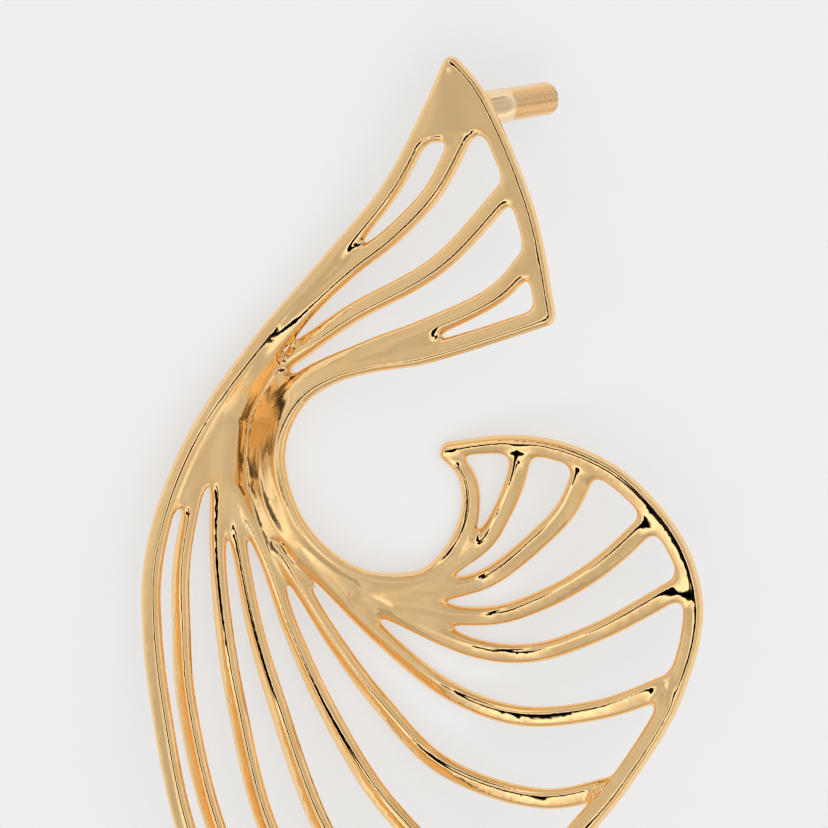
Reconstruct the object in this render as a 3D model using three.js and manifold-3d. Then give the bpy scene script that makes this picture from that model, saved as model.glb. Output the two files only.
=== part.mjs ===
// Openwork stud earring: one cast, twisted sheet of ribs with a threaded post soldered behind it.
// Units are millimetres. The tables are written as the earring is worn and seen from the front:
// x to the right, y away from the viewer, z up, from the middle of the round opening. The last
// step lays the earring down on its back, where it rests on a table.

import * as THREE from 'three';
import { ConvexHull } from 'three/addons/math/ConvexHull.js';
import { mergeVertices } from 'three/addons/utils/BufferGeometryUtils.js';
import Module from 'manifold-3d';

const RIB_DEPTH = 0.60;         // thickness of every rib, front to back
const EDGE_CUT = 0.14;          // flat taken off each long edge of a rib
const RIB_STEP = 1.15;          // length of one straight facet along a rib
const WEB_DEPTH = 0.52;         // thickness of the webs that join the ribs
const WEB_STEP = 1.2;           // length of one straight facet along a web

const POST_LENGTH = 3.95;
const COLLAR_LENGTH = 1.8;      // the plain part of the post, up to the thread
const COLLAR_RADIUS = 0.69;
const THREAD_RADIUS = 0.66;     // over the crests
const TIP_ROUNDING = 0.3;
const FOOT_DEPTH = 0.15;        // the narrowed foot of the collar, sunk into the sheet
const FOOT_RADIUS = 0.55;
const POST_SIDES = 24;

// The post leaves the back of the upper panel at its root and points along its way.
const POST_ROOT = { x: 3.73, z: 14.29, y: -3.48 };
const POST_WAY = { x: 0.853, z: 0.15, y: 0.5 };

// A rib passes through its rows. turn is how far its face leans towards the rib on its left, in
// degrees, and wide is the width of that face.
const COLUMNS = ['x', 'z', 'y', 'turn', 'wide'];
const RIBS = {
  leftRim: [
    [3.0, 16.42, -3.38, 27, 0.32],
    [1.97, 13.73, -2.87, 27, 0.70],
    [0.58, 11.12, -2.2, 27, 0.74],
    [-1.86, 8.2, -1.1, 29, 0.74],
    [-4.48, 5.16, -0.4, 34, 0.74],
    [-6.9, 1.77, -0.1, 38, 0.70],
    [-8.28, -1.3, -0.05, 36, 0.72],
    [-8.9, -4.0, 0.0, 34, 0.76],
    [-8.92, -6.3, 0.0, 34, 0.78],
    [-8.61, -9.2, 0.0, 34, 0.80],
    [-7.58, -14.3, 0.0, 34, 0.78],
    [-6.03, -17.9, 0.0, 34, 0.77],
    [-3.4, -21.8, 0.0, 34, 0.74],
  ],
  first: [
    [3.5, 13.3, -3.63, 27, 0.82],
    [2.3, 11.05, -3.03, 28, 0.74],
    [0.66, 9.33, -2.2, 30, 0.74],
    [-1.02, 8.0, -1.45, 32, 0.70],
    [-2.97, 6.12, -0.75, 42, 0.66],
    [-5.2, 3.4, 0.15, 58, 0.64],
    [-6.5, 1.2, 0.35, 64, 0.64],
    [-7.28, -1.2, 0.45, 60, 0.64],
    [-7.75, -3.8, 0.6, 46, 0.70],
    [-7.76, -6.3, 0.8, 38, 0.74],
    [-7.57, -9.2, 0.9, 36, 0.79],
    [-6.38, -14.3, 0.8, 35, 0.80],
    [-4.4, -18.4, 0.5, 34, 0.77],
    [-1.8, -21.2, 0.2, 33, 0.74],
  ],
  second: [
    [-5.9, 2.15, 0.3, 64, 0.64],
    [-6.3, -1.2, 0.85, 62, 0.60],
    [-6.3, -3.6, 1.2, 54, 0.60],
    [-6.06, -6.3, 1.6, 46, 0.70],
    [-5.6, -9.2, 1.8, 40, 0.77],
    [-4.32, -14.3, 1.6, 36, 0.80],
    [-2.2, -18.0, 1.1, 34, 0.77],
    [0.2, -20.5, 0.7, 33, 0.74],
  ],
  third: [
    [-6.05, 0.6, 0.6, 64, 0.58],
    [-5.62, -2.0, 1.2, 60, 0.51],
    [-4.84, -6.3, 2.2, 54, 0.68],
    [-4.0, -9.2, 2.6, 48, 0.77],
    [-2.14, -14.3, 2.3, 40, 0.80],
    [-0.2, -17.2, 1.8, 36, 0.77],
    [2.1, -19.7, 1.2, 33, 0.74],
  ],
  fourth: [
    [-5.75, -0.6, 0.9, 60, 0.54],
    [-4.35, -3.6, 1.8, 57, 0.51],
    [-3.42, -6.3, 2.6, 54, 0.66],
    [-2.17, -9.15, 3.2, 50, 0.74],
    [-0.26, -12.5, 3.3, 42, 0.82],
    [1.2, -14.3, 3.0, 38, 0.84],
    [4.9, -17.8, 1.8, 30, 0.80],
  ],
  fifth: [
    [5.5, 11.35, -4.56, 24, 0.84],
    [2.55, 8.2, -3.08, 26, 0.77],
    [-0.97, 6.2, -1.32, 30, 0.78],
    [-2.5, 5.13, -0.5, 36, 0.74],
    [-3.95, 3.95, 0.5, 44, 0.66],
    [-4.9, 2.2, 1.3, 50, 0.58],
    [-5.1, 0.0, 1.5, 54, 0.54],
    [-4.7, -2.0, 1.6, 56, 0.52],
    [-3.62, -3.6, 1.8, 56, 0.50],
    [-1.77, -6.68, 2.9, 52, 0.66],
    [0.18, -9.33, 3.8, 46, 0.74],
    [2.7, -11.9, 4.2, 36, 0.80],
    [6.7, -13.22, 3.2, 18, 0.82],
    [10.0, -12.6, 1.8, 14, 0.86],
  ],
  sixth: [
    [6.3, 8.6, -4.98, 20, 0.88],
    [4.9, 7.05, -4.29, 20, 0.80],
    [2.0, 5.64, -2.86, 22, 0.77],
    [-0.12, 4.86, -1.81, 26, 0.76],
    [-3.15, 3.4, -0.3, 42, 0.70],
    [-4.2, 1.8, 0.6, 46, 0.58],
    [-4.5, -0.2, 1.0, 50, 0.54],
    [-3.95, -2.05, 1.25, 52, 0.50],
    [-2.78, -3.55, 1.7, 54, 0.52],
    [0.15, -6.62, 3.4, 46, 0.70],
    [3.1, -8.96, 4.6, 34, 0.77],
    [5.8, -9.9, 4.0, 18, 0.82],
    [8.95, -9.65, 2.9, 14, 0.82],
    [11.9, -8.62, 1.4, 14, 0.96],
  ],
  seventh: [
    [-2.2, -4.15, 2.15, 44, 0.58],
    [0.2, -5.5, 3.0, 36, 0.62],
    [4.1, -7.2, 4.1, 22, 0.77],
    [6.3, -7.37, 4.0, 20, 0.77],
    [8.95, -6.5, 2.6, 18, 0.77],
    [12.35, -4.62, 0.95, 16, 0.90],
  ],
  eighth: [
    [-0.6, -4.4, 2.7, 36, 0.58],
    [1.0, -5.37, 3.0, 30, 0.64],
    [4.6, -5.88, 4.1, 24, 0.77],
    [6.88, -5.17, 3.4, 20, 0.81],
    [9.0, -3.9, 2.1, 18, 0.83],
    [11.2, -1.9, 0.9, 18, 0.86],
  ],
  ninth: [
    [0.2, -4.5, 2.85, 28, 0.58],
    [1.8, -4.86, 3.1, 26, 0.70],
    [4.35, -4.42, 3.85, 22, 0.80],
    [6.8, -2.55, 2.8, 18, 0.84],
    [7.74, -1.47, 2.1, 18, 0.86],
    [8.56, 0.38, 1.15, 18, 0.99],
  ],
  tenth: [
    [0.8, -4.45, 2.95, 28, 0.58],
    [1.8, -4.42, 3.1, 24, 0.64],
    [4.3, -2.97, 3.4, 22, 0.72],
    [5.1, -1.7, 2.85, 20, 0.78],
    [5.6, -0.5, 2.3, 20, 0.81],
    [5.95, 0.95, 1.8, 20, 0.84],
  ],
  innerRim: [
    [7.0, 6.18, -5.3, 12, 0.78],
    [3.2, 4.95, -3.47, 12, 0.76],
    [1.7, 4.52, -2.75, 12, 0.72],
    [-0.2, 4.22, -1.87, 15, 0.70],
    [-1.6, 3.82, -1.21, 22, 0.70],
    [-2.93, 2.98, -0.55, 34, 0.70],
    [-3.74, 1.63, 0.0, 44, 0.70],
    [-3.92, 0.2, 0.5, 46, 0.68],
    [-3.36, -1.75, 1.0, 46, 0.68],
    [-2.38, -3.12, 1.5, 40, 0.68],
    [-1.1, -4.07, 2.0, 35, 0.66],
    [0.1, -4.46, 2.5, 30, 0.66],
    [1.95, -4.35, 3.0, 28, 0.70],
    [2.97, -3.5, 3.25, 25, 0.74],
    [3.6, -2.4, 3.2, 20, 0.74],
    [3.86, -1.2, 2.95, 15, 0.74],
    [3.6, -0.1, 2.7, 15, 0.72],
    [2.68, 0.82, 2.5, 15, 0.50],
  ],
  topRim: [
    [3.0, 16.42, -3.38, 27, 0.32],
    [3.9, 15.15, -3.78, 27, 0.70],
    [4.85, 13.2, -4.22, 27, 0.80],
    [6.05, 9.95, -4.8, 27, 0.81],
    [6.83, 5.95, -5.25, 27, 0.79],
  ],
  outerRim: [
    [2.68, 0.82, 2.5, 25, 0.50],
    [5.1, 1.02, 2.0, 30, 0.76],
    [6.7, 0.9, 1.6, 31, 0.80],
    [8.16, 0.48, 1.2, 32, 0.81],
    [9.68, -0.33, 0.95, 33, 0.81],
    [11.24, -1.86, 0.85, 33, 0.81],
    [12.27, -3.5, 0.85, 33, 0.81],
    [12.73, -5.3, 1.0, 33, 0.81],
    [12.62, -6.8, 1.2, 33, 0.81],
    [12.19, -8.3, 1.4, 33, 0.81],
    [11.56, -9.85, 1.5, 33, 0.81],
    [9.7, -12.7, 1.7, 33, 0.84],
    [8.43, -14.2, 1.8, 33, 0.94],
    [5.48, -17.3, 1.7, 33, 0.84],
    [2.1, -19.7, 1.2, 33, 0.76],
    [-1.8, -21.3, 0.2, 33, 0.74],
    [-3.4, -21.8, 0.0, 33, 0.74],
  ],
};

// A web fills the gap between two neighbouring ribs a and b. Each pair is a row number on rib a
// and the row number on rib b that it reaches across to.
const WEBS = [
  { a: 'leftRim', b: 'topRim', pairs: [[0.15, 0.15], [1.3, 1.9]] },
  { a: 'leftRim', b: 'first', pairs: [[3.0, 3.0], [6.05, 7.1]] },
  { a: 'first', b: 'fifth', pairs: [[4.45, 3.75], [6.5, 6.0]] },
  { a: 'first', b: 'second', pairs: [[5.6, 0.1], [6.75, 0.8]] },
  { a: 'second', b: 'third', pairs: [[0.45, 0.1], [1.35, 0.85]] },
  { a: 'third', b: 'fourth', pairs: [[0.4, 0.1], [1.0, 0.5]] },
  { a: 'second', b: 'fifth', pairs: [[0.0, 5.1], [1.0, 6.6]] },
  { a: 'fourth', b: 'fifth', pairs: [[0.1, 6.4], [0.65, 7.3]] },
  { a: 'fifth', b: 'sixth', pairs: [[3.9, 3.9], [7.5, 7.45]] },
  { a: 'sixth', b: 'innerRim', pairs: [[1.85, 1.45], [3.0, 3.3], [3.9, 4.8], [6.0, 7.3], [7.3, 8.5], [8.6, 10.4]] },
  { a: 'sixth', b: 'seventh', pairs: [[8.2, 0.0], [8.75, 0.8]] },
  { a: 'seventh', b: 'innerRim', pairs: [[0.0, 9.6], [1.2, 11.4]] },
  { a: 'seventh', b: 'eighth', pairs: [[0.6, 0.1], [1.3, 1.1]] },
  { a: 'eighth', b: 'ninth', pairs: [[0.45, 0.0], [1.4, 1.3]] },
];

const TOWARDS_VIEWER = new THREE.Vector3(0, -1, 0);
const DOWN = new THREE.Vector3(0, 0, -1);
const DEGREES = Math.PI / 180;

const wasm = await Module();
wasm.setup();

// A smooth rib. at(row) gives its middle and the directions of its face and of its right side.
function makeRib(table) {
  const rows = table.map((row) => Object.fromEntries(COLUMNS.map((name, i) => [name, row[i]])));
  const last = rows.length - 1;
  const points = rows.map((row) => new THREE.Vector3(row.x, row.y, row.z));
  const line = new THREE.CatmullRomCurve3(points, false, 'centripetal');
  const blend = (name, row) => {
    const before = Math.min(Math.floor(row), last - 1);
    return THREE.MathUtils.lerp(rows[before][name], rows[before + 1][name], row - before);
  };
  const at = (row) => {
    const along = line.getTangent(row / last);
    const front = TOWARDS_VIEWER.clone().projectOnPlane(along).normalize();
    const right = new THREE.Vector3().crossVectors(front, along);
    const turn = blend('turn', row) * DEGREES;
    const face = front.clone().multiplyScalar(Math.cos(turn)).addScaledVector(right, -Math.sin(turn));
    const side = right.clone().multiplyScalar(Math.cos(turn)).addScaledVector(front, Math.sin(turn));
    return { middle: line.getPoint(row / last), face, side, wide: blend('wide', row) };
  };
  return { at, points, last };
}

// The eight corners of a rib's section, an oblong with its long edges taken off.
function ribSection({ middle, face, side, wide }) {
  const half = wide / 2;
  const deep = RIB_DEPTH / 2;
  const corners = [
    [half, deep - EDGE_CUT],
    [half - EDGE_CUT, deep],
    [EDGE_CUT - half, deep],
    [-half, deep - EDGE_CUT],
    [-half, EDGE_CUT - deep],
    [EDGE_CUT - half, -deep],
    [half - EDGE_CUT, -deep],
    [half, EDGE_CUT - deep],
  ];
  return corners.map(([s, f]) => middle.clone().addScaledVector(side, s).addScaledVector(face, f));
}

function ribSolid(rib) {
  const sections = [];
  for (let row = 0; row < rib.last; row += 1) {
    const steps = Math.max(1, Math.round(rib.points[row].distanceTo(rib.points[row + 1]) / RIB_STEP));
    for (let step = 0; step < steps; step += 1) {
      sections.push(ribSection(rib.at(row + step / steps)));
    }
  }
  sections.push(ribSection(rib.at(rib.last)));
  return loft(sections);
}

function webSolid(web, ribs) {
  const rowAt = (side, share) => {
    const place = share * (web.pairs.length - 1);
    const before = Math.min(Math.floor(place), web.pairs.length - 2);
    return THREE.MathUtils.lerp(web.pairs[before][side], web.pairs[before + 1][side], place - before);
  };
  const pair = (share) => [ribs[web.a].at(rowAt(0, share)).middle, ribs[web.b].at(rowAt(1, share)).middle];
  const [startA, startB] = pair(0);
  const [endA, endB] = pair(1);
  const length = (startA.distanceTo(endA) + startB.distanceTo(endB)) / 2;
  const steps = Math.ceil(length / WEB_STEP);
  const sections = [];
  for (let step = 0; step <= steps; step += 1) {
    const [a, b] = pair(step / steps);
    const [aheadA, aheadB] = pair(Math.min((step + 0.5) / steps, 1));
    const [behindA, behindB] = pair(Math.max((step - 0.5) / steps, 0));
    const along = aheadA.add(aheadB).sub(behindA).sub(behindB);
    const out = new THREE.Vector3().crossVectors(along, b.clone().sub(a)).setLength(WEB_DEPTH / 2);
    sections.push([a.clone().add(out), b.clone().add(out), b.clone().sub(out), a.clone().sub(out)]);
  }
  return loft(sections);
}

// One closed solid through a list of sections that all have the same number of corners.
function loft(sections) {
  const count = sections[0].length;
  const triangles = [];
  for (let ring = 0; ring < sections.length - 1; ring += 1) {
    for (let corner = 0; corner < count; corner += 1) {
      const a = ring * count + corner;
      const b = ring * count + (corner + 1) % count;
      triangles.push(a, b, b + count, a, b + count, a + count);
    }
  }
  const end = (sections.length - 1) * count;
  for (let corner = 1; corner < count - 1; corner += 1) {
    triangles.push(0, corner + 1, corner);
    triangles.push(end, end + corner, end + corner + 1);
  }
  const corners = sections.flat();
  if (volumeAndCentre(corners, triangles).volume < 0) triangles.reverse();
  return toSolid(corners.flatMap((corner) => corner.toArray()), triangles);
}

// The post is turned about its own axis, then stood on its root along its way.
function postSolid() {
  const outline = [
    new THREE.Vector2(0, -FOOT_DEPTH),
    new THREE.Vector2(FOOT_RADIUS, -FOOT_DEPTH),
    new THREE.Vector2(COLLAR_RADIUS, 0),
    new THREE.Vector2(COLLAR_RADIUS, COLLAR_LENGTH),
    new THREE.Vector2(THREAD_RADIUS, COLLAR_LENGTH),
  ];
  for (const angle of [0, 30, 60, 90]) {
    const radius = THREAD_RADIUS - TIP_ROUNDING + TIP_ROUNDING * Math.cos(angle * DEGREES);
    const height = POST_LENGTH - TIP_ROUNDING + TIP_ROUNDING * Math.sin(angle * DEGREES);
    outline.push(new THREE.Vector2(radius, height));
  }
  outline.push(new THREE.Vector2(0, POST_LENGTH));
  const post = new THREE.LatheGeometry(outline, POST_SIDES);
  const way = new THREE.Vector3(POST_WAY.x, POST_WAY.y, POST_WAY.z).normalize();
  post.applyQuaternion(new THREE.Quaternion().setFromUnitVectors(new THREE.Vector3(0, 1, 0), way));
  post.translate(POST_ROOT.x, POST_ROOT.y, POST_ROOT.z);
  post.deleteAttribute('normal');
  post.deleteAttribute('uv');
  const merged = mergeVertices(post);
  const triangles = [];
  for (let i = 0; i < merged.index.count; i += 3) {
    const triangle = Array.from(merged.index.array.subarray(i, i + 3));
    if (new Set(triangle).size === 3) triangles.push(...triangle);
  }
  return toSolid(merged.attributes.position.array, triangles);
}

function toSolid(positions, triangles) {
  const vertProperties = new Float32Array(positions);
  const triVerts = new Uint32Array(triangles);
  return new wasm.Manifold(new wasm.Mesh({ numProp: 3, vertProperties, triVerts }));
}

function volumeAndCentre(corners, triangles) {
  const centre = new THREE.Vector3();
  let volume = 0;
  for (let i = 0; i < triangles.length; i += 3) {
    const [a, b, c] = [corners[triangles[i]], corners[triangles[i + 1]], corners[triangles[i + 2]]];
    const part = a.dot(new THREE.Vector3().crossVectors(b, c)) / 6;
    centre.addScaledVector(a.clone().add(b).add(c), part / 4);
    volume += part;
  }
  return { volume, centre: centre.divideScalar(volume) };
}

// Rolls the solid from lying on its back to a side of its hull that holds up its weight, and
// gives that side's direction.
function restingSide(corners, centre) {
  const { faces } = new ConvexHull().setFromPoints(corners);
  let down = TOWARDS_VIEWER.clone().negate();
  for (;;) {
    const reach = (face) => (face.constant - face.normal.dot(centre)) / face.normal.dot(down);
    const below = faces.filter((face) => face.normal.dot(down) > 0);
    const under = below.reduce((best, face) => (reach(face) < reach(best) ? face : best));
    if (under.normal.dot(down) > 1 - 1e-9) return down;
    down = under.normal.clone();
  }
}

const ribs = Object.fromEntries(Object.entries(RIBS).map(([name, table]) => [name, makeRib(table)]));
const body = [
  ...Object.values(ribs).map((rib) => ribSolid(rib)),
  ...WEBS.map((web) => webSolid(web, ribs)),
  postSolid(),
].reduce((whole, piece) => whole.add(piece));

const { vertProperties, triVerts } = body.getMesh();
const geometry = new THREE.BufferGeometry();
geometry.setAttribute('position', new THREE.BufferAttribute(vertProperties, 3));
geometry.setIndex(new THREE.BufferAttribute(triVerts, 1));

const gold = new THREE.MeshStandardMaterial({ color: 0xe3b565, roughness: 0.12, metalness: 1.0 });
const earring = new THREE.Mesh(geometry, gold);
earring.name = 'stud_earring';

const corners = [];
for (let i = 0; i < vertProperties.length; i += 3) {
  corners.push(new THREE.Vector3().fromArray(vertProperties, i));
}
const { centre } = volumeAndCentre(corners, triVerts);
const laid = new THREE.Group();
laid.quaternion.setFromUnitVectors(restingSide(corners, centre), DOWN);
laid.add(earring);
laid.updateMatrixWorld();
const box = new THREE.Box3().setFromObject(laid, true);
const middle = box.getCenter(new THREE.Vector3());
laid.position.set(-middle.x, -middle.y, -box.min.z);

const part = new THREE.Group();
part.add(laid);
export default part;
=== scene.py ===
"""Openwork stud earring: a twisted sheet of polished gold ribs and its threaded post, lying on
a pale table."""

import math

import bmesh
import bpy
import numpy as np
from mathutils import Matrix, Vector
from mathutils.kdtree import KDTree


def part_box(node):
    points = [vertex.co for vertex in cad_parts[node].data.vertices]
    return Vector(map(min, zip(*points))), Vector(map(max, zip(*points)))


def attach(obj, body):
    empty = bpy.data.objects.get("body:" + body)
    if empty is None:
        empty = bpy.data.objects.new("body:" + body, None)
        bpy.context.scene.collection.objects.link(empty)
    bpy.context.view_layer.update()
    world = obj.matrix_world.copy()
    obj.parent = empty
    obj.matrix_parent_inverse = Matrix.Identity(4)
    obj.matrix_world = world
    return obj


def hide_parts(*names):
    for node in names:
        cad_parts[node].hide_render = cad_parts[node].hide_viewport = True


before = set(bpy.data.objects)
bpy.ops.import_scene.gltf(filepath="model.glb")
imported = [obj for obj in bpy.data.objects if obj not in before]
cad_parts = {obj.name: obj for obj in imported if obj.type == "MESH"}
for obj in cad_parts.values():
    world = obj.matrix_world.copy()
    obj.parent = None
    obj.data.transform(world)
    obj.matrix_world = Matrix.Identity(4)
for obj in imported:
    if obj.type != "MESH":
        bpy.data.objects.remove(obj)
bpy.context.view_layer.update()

MM = 0.001

# The tables are in millimetres and written as the earring is worn and seen from the front:
# x to the right, y away from the viewer, z up, from the middle of the round opening.
DOWN_WHEN_LAID = (-0.11833, 0.97072, 0.20905)

RIB_DEPTH = 0.60      # thickness of the sheet, front to back
EDGE_RADIUS = 0.24    # rounding along every edge
CORNER_BLEND = 0.55   # size of the fillets where ribs meet
FLUSH_LENGTH = 1.3    # over this length a rib's end turns level with the rib that it meets
MOST_TRIANGLES = 192000
SKIN_STEP = 0.08      # grid that the sheet's skin is made on
BOSS_RISE = 0.75      # how far the ring of solder climbs the post
BOSS_OVERHANG = 0.02
BOSS_BLEND = 0.4

# The twisted waist, where the ribs run together.
WAIST_MIDDLE = np.array([-6.9, 1.0, 0.2])
WAIST_REACH = np.array([1.5, 3.0, 4.6])

# The hollow of the waist, where the creases between the ribs stay sharp.
HOLLOW_MIDDLE = np.array([-4.4, 1.2, 0.8])
HOLLOW_REACH = np.array([1.1, 3.0, 4.0])
HOLLOW_FALLOFF = 1.6     # the hollow's hold ends at this many times its reach
HOLLOW_SHARPNESS = 0.9   # share of the fillets that is left out where the hollow is deepest
HOLLOW_DULLNESS = 0.17   # roughness added where the hollow is deepest

POST_ROOT = (3.73, -3.48, 14.29)
POST_WAY = (0.853, 0.500, 0.150)
POST_LENGTH = 3.95
COLLAR_LENGTH = 1.80
COLLAR_RADIUS = 0.69
THREAD_RADIUS = 0.66
THREAD_PITCH = 0.117
THREAD_CUT = 0.09
TIP_ROUNDING = 0.30
STATION_STEP = 0.13   # spacing of the stations along a rib

# A rib passes through its rows. turn is how far its face leans towards the rib on its left, in
# degrees, and wide is the width of that face.
# x, z, y, turn, wide
RIBS = {
    "leftRim": [
        (3.0, 16.42, -3.38, 27, 0.32),
        (1.97, 13.73, -2.87, 27, 0.70),
        (0.58, 11.12, -2.2, 27, 0.74),
        (-1.86, 8.2, -1.1, 29, 0.74),
        (-4.48, 5.16, -0.4, 34, 0.74),
        (-6.9, 1.77, -0.1, 38, 0.70),
        (-8.28, -1.3, -0.05, 36, 0.72),
        (-8.9, -4.0, 0.0, 34, 0.76),
        (-8.92, -6.3, 0.0, 34, 0.78),
        (-8.61, -9.2, 0.0, 34, 0.80),
        (-7.58, -14.3, 0.0, 34, 0.78),
        (-6.03, -17.9, 0.0, 34, 0.77),
        (-3.4, -21.8, 0.0, 34, 0.74),
    ],
    "first": [
        (3.5, 13.3, -3.63, 27, 0.82),
        (2.3, 11.05, -3.03, 28, 0.74),
        (0.66, 9.33, -2.2, 30, 0.74),
        (-1.02, 8.0, -1.45, 32, 0.70),
        (-2.97, 6.12, -0.75, 42, 0.66),
        (-5.2, 3.4, 0.15, 58, 0.64),
        (-6.5, 1.2, 0.35, 64, 0.64),
        (-7.28, -1.2, 0.45, 60, 0.64),
        (-7.75, -3.8, 0.6, 46, 0.70),
        (-7.76, -6.3, 0.8, 38, 0.74),
        (-7.57, -9.2, 0.9, 36, 0.79),
        (-6.38, -14.3, 0.8, 35, 0.80),
        (-4.4, -18.4, 0.5, 34, 0.77),
        (-1.8, -21.2, 0.2, 33, 0.74),
    ],
    "second": [
        (-5.9, 2.15, 0.3, 64, 0.64),
        (-6.3, -1.2, 0.85, 62, 0.60),
        (-6.3, -3.6, 1.2, 54, 0.60),
        (-6.06, -6.3, 1.6, 46, 0.70),
        (-5.6, -9.2, 1.8, 40, 0.77),
        (-4.32, -14.3, 1.6, 36, 0.80),
        (-2.2, -18.0, 1.1, 34, 0.77),
        (0.2, -20.5, 0.7, 33, 0.74),
    ],
    "third": [
        (-6.05, 0.6, 0.6, 64, 0.58),
        (-5.62, -2.0, 1.2, 60, 0.51),
        (-4.84, -6.3, 2.2, 54, 0.68),
        (-4.0, -9.2, 2.6, 48, 0.77),
        (-2.14, -14.3, 2.3, 40, 0.80),
        (-0.2, -17.2, 1.8, 36, 0.77),
        (2.1, -19.7, 1.2, 33, 0.74),
    ],
    "fourth": [
        (-5.75, -0.6, 0.9, 60, 0.54),
        (-4.35, -3.6, 1.8, 57, 0.51),
        (-3.42, -6.3, 2.6, 54, 0.66),
        (-2.17, -9.15, 3.2, 50, 0.74),
        (-0.26, -12.5, 3.3, 42, 0.82),
        (1.2, -14.3, 3.0, 38, 0.84),
        (4.9, -17.8, 1.8, 30, 0.80),
    ],
    "fifth": [
        (5.5, 11.35, -4.56, 24, 0.84),
        (2.55, 8.2, -3.08, 26, 0.77),
        (-0.97, 6.2, -1.32, 30, 0.78),
        (-2.5, 5.13, -0.5, 36, 0.74),
        (-3.95, 3.95, 0.5, 44, 0.66),
        (-4.9, 2.2, 1.3, 50, 0.58),
        (-5.1, 0.0, 1.5, 54, 0.54),
        (-4.7, -2.0, 1.6, 56, 0.52),
        (-3.62, -3.6, 1.8, 56, 0.50),
        (-1.77, -6.68, 2.9, 52, 0.66),
        (0.18, -9.33, 3.8, 46, 0.74),
        (2.7, -11.9, 4.2, 36, 0.80),
        (6.7, -13.22, 3.2, 18, 0.82),
        (10.0, -12.6, 1.8, 14, 0.86),
    ],
    "sixth": [
        (6.3, 8.6, -4.98, 20, 0.88),
        (4.9, 7.05, -4.29, 20, 0.80),
        (2.0, 5.64, -2.86, 22, 0.77),
        (-0.12, 4.86, -1.81, 26, 0.76),
        (-3.15, 3.4, -0.3, 42, 0.70),
        (-4.2, 1.8, 0.6, 46, 0.58),
        (-4.5, -0.2, 1.0, 50, 0.54),
        (-3.95, -2.05, 1.25, 52, 0.50),
        (-2.78, -3.55, 1.7, 54, 0.52),
        (0.15, -6.62, 3.4, 46, 0.70),
        (3.1, -8.96, 4.6, 34, 0.77),
        (5.8, -9.9, 4.0, 18, 0.82),
        (8.95, -9.65, 2.9, 14, 0.82),
        (11.9, -8.62, 1.4, 14, 0.96),
    ],
    "seventh": [
        (-2.2, -4.15, 2.15, 44, 0.58),
        (0.2, -5.5, 3.0, 36, 0.62),
        (4.1, -7.2, 4.1, 22, 0.77),
        (6.3, -7.37, 4.0, 20, 0.77),
        (8.95, -6.5, 2.6, 18, 0.77),
        (12.35, -4.62, 0.95, 16, 0.90),
    ],
    "eighth": [
        (-0.6, -4.4, 2.7, 36, 0.58),
        (1.0, -5.37, 3.0, 30, 0.64),
        (4.6, -5.88, 4.1, 24, 0.77),
        (6.88, -5.17, 3.4, 20, 0.81),
        (9.0, -3.9, 2.1, 18, 0.83),
        (11.2, -1.9, 0.9, 18, 0.86),
    ],
    "ninth": [
        (0.2, -4.5, 2.85, 28, 0.58),
        (1.8, -4.86, 3.1, 26, 0.70),
        (4.35, -4.42, 3.85, 22, 0.80),
        (6.8, -2.55, 2.8, 18, 0.84),
        (7.74, -1.47, 2.1, 18, 0.86),
        (8.56, 0.38, 1.15, 18, 0.99),
    ],
    "tenth": [
        (0.8, -4.45, 2.95, 28, 0.58),
        (1.8, -4.42, 3.1, 24, 0.64),
        (4.3, -2.97, 3.4, 22, 0.72),
        (5.1, -1.7, 2.85, 20, 0.78),
        (5.6, -0.5, 2.3, 20, 0.81),
        (5.95, 0.95, 1.8, 20, 0.84),
    ],
    "innerRim": [
        (7.0, 6.18, -5.3, 12, 0.78),
        (3.2, 4.95, -3.47, 12, 0.76),
        (1.7, 4.52, -2.75, 12, 0.72),
        (-0.2, 4.22, -1.87, 15, 0.70),
        (-1.6, 3.82, -1.21, 22, 0.70),
        (-2.93, 2.98, -0.55, 34, 0.70),
        (-3.74, 1.63, 0.0, 44, 0.70),
        (-3.92, 0.2, 0.5, 46, 0.68),
        (-3.36, -1.75, 1.0, 46, 0.68),
        (-2.38, -3.12, 1.5, 40, 0.68),
        (-1.1, -4.07, 2.0, 35, 0.66),
        (0.1, -4.46, 2.5, 30, 0.66),
        (1.95, -4.35, 3.0, 28, 0.70),
        (2.97, -3.5, 3.25, 25, 0.74),
        (3.6, -2.4, 3.2, 20, 0.74),
        (3.86, -1.2, 2.95, 15, 0.74),
        (3.6, -0.1, 2.7, 15, 0.72),
        (2.68, 0.82, 2.5, 15, 0.50),
    ],
    "topRim": [
        (3.0, 16.42, -3.38, 27, 0.32),
        (3.9, 15.15, -3.78, 27, 0.70),
        (4.85, 13.2, -4.22, 27, 0.80),
        (6.05, 9.95, -4.8, 27, 0.81),
        (6.83, 5.95, -5.25, 27, 0.79),
    ],
    "outerRim": [
        (2.68, 0.82, 2.5, 25, 0.50),
        (5.1, 1.02, 2.0, 30, 0.76),
        (6.7, 0.9, 1.6, 31, 0.80),
        (8.16, 0.48, 1.2, 32, 0.81),
        (9.68, -0.33, 0.95, 33, 0.81),
        (11.24, -1.86, 0.85, 33, 0.81),
        (12.27, -3.5, 0.85, 33, 0.81),
        (12.73, -5.3, 1.0, 33, 0.81),
        (12.62, -6.8, 1.2, 33, 0.81),
        (12.19, -8.3, 1.4, 33, 0.81),
        (11.56, -9.85, 1.5, 33, 0.81),
        (9.7, -12.7, 1.7, 33, 0.84),
        (8.43, -14.2, 1.8, 33, 0.94),
        (5.48, -17.3, 1.7, 33, 0.84),
        (2.1, -19.7, 1.2, 33, 0.76),
        (-1.8, -21.3, 0.2, 33, 0.74),
        (-3.4, -21.8, 0.0, 33, 0.74),
    ],
}

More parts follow.
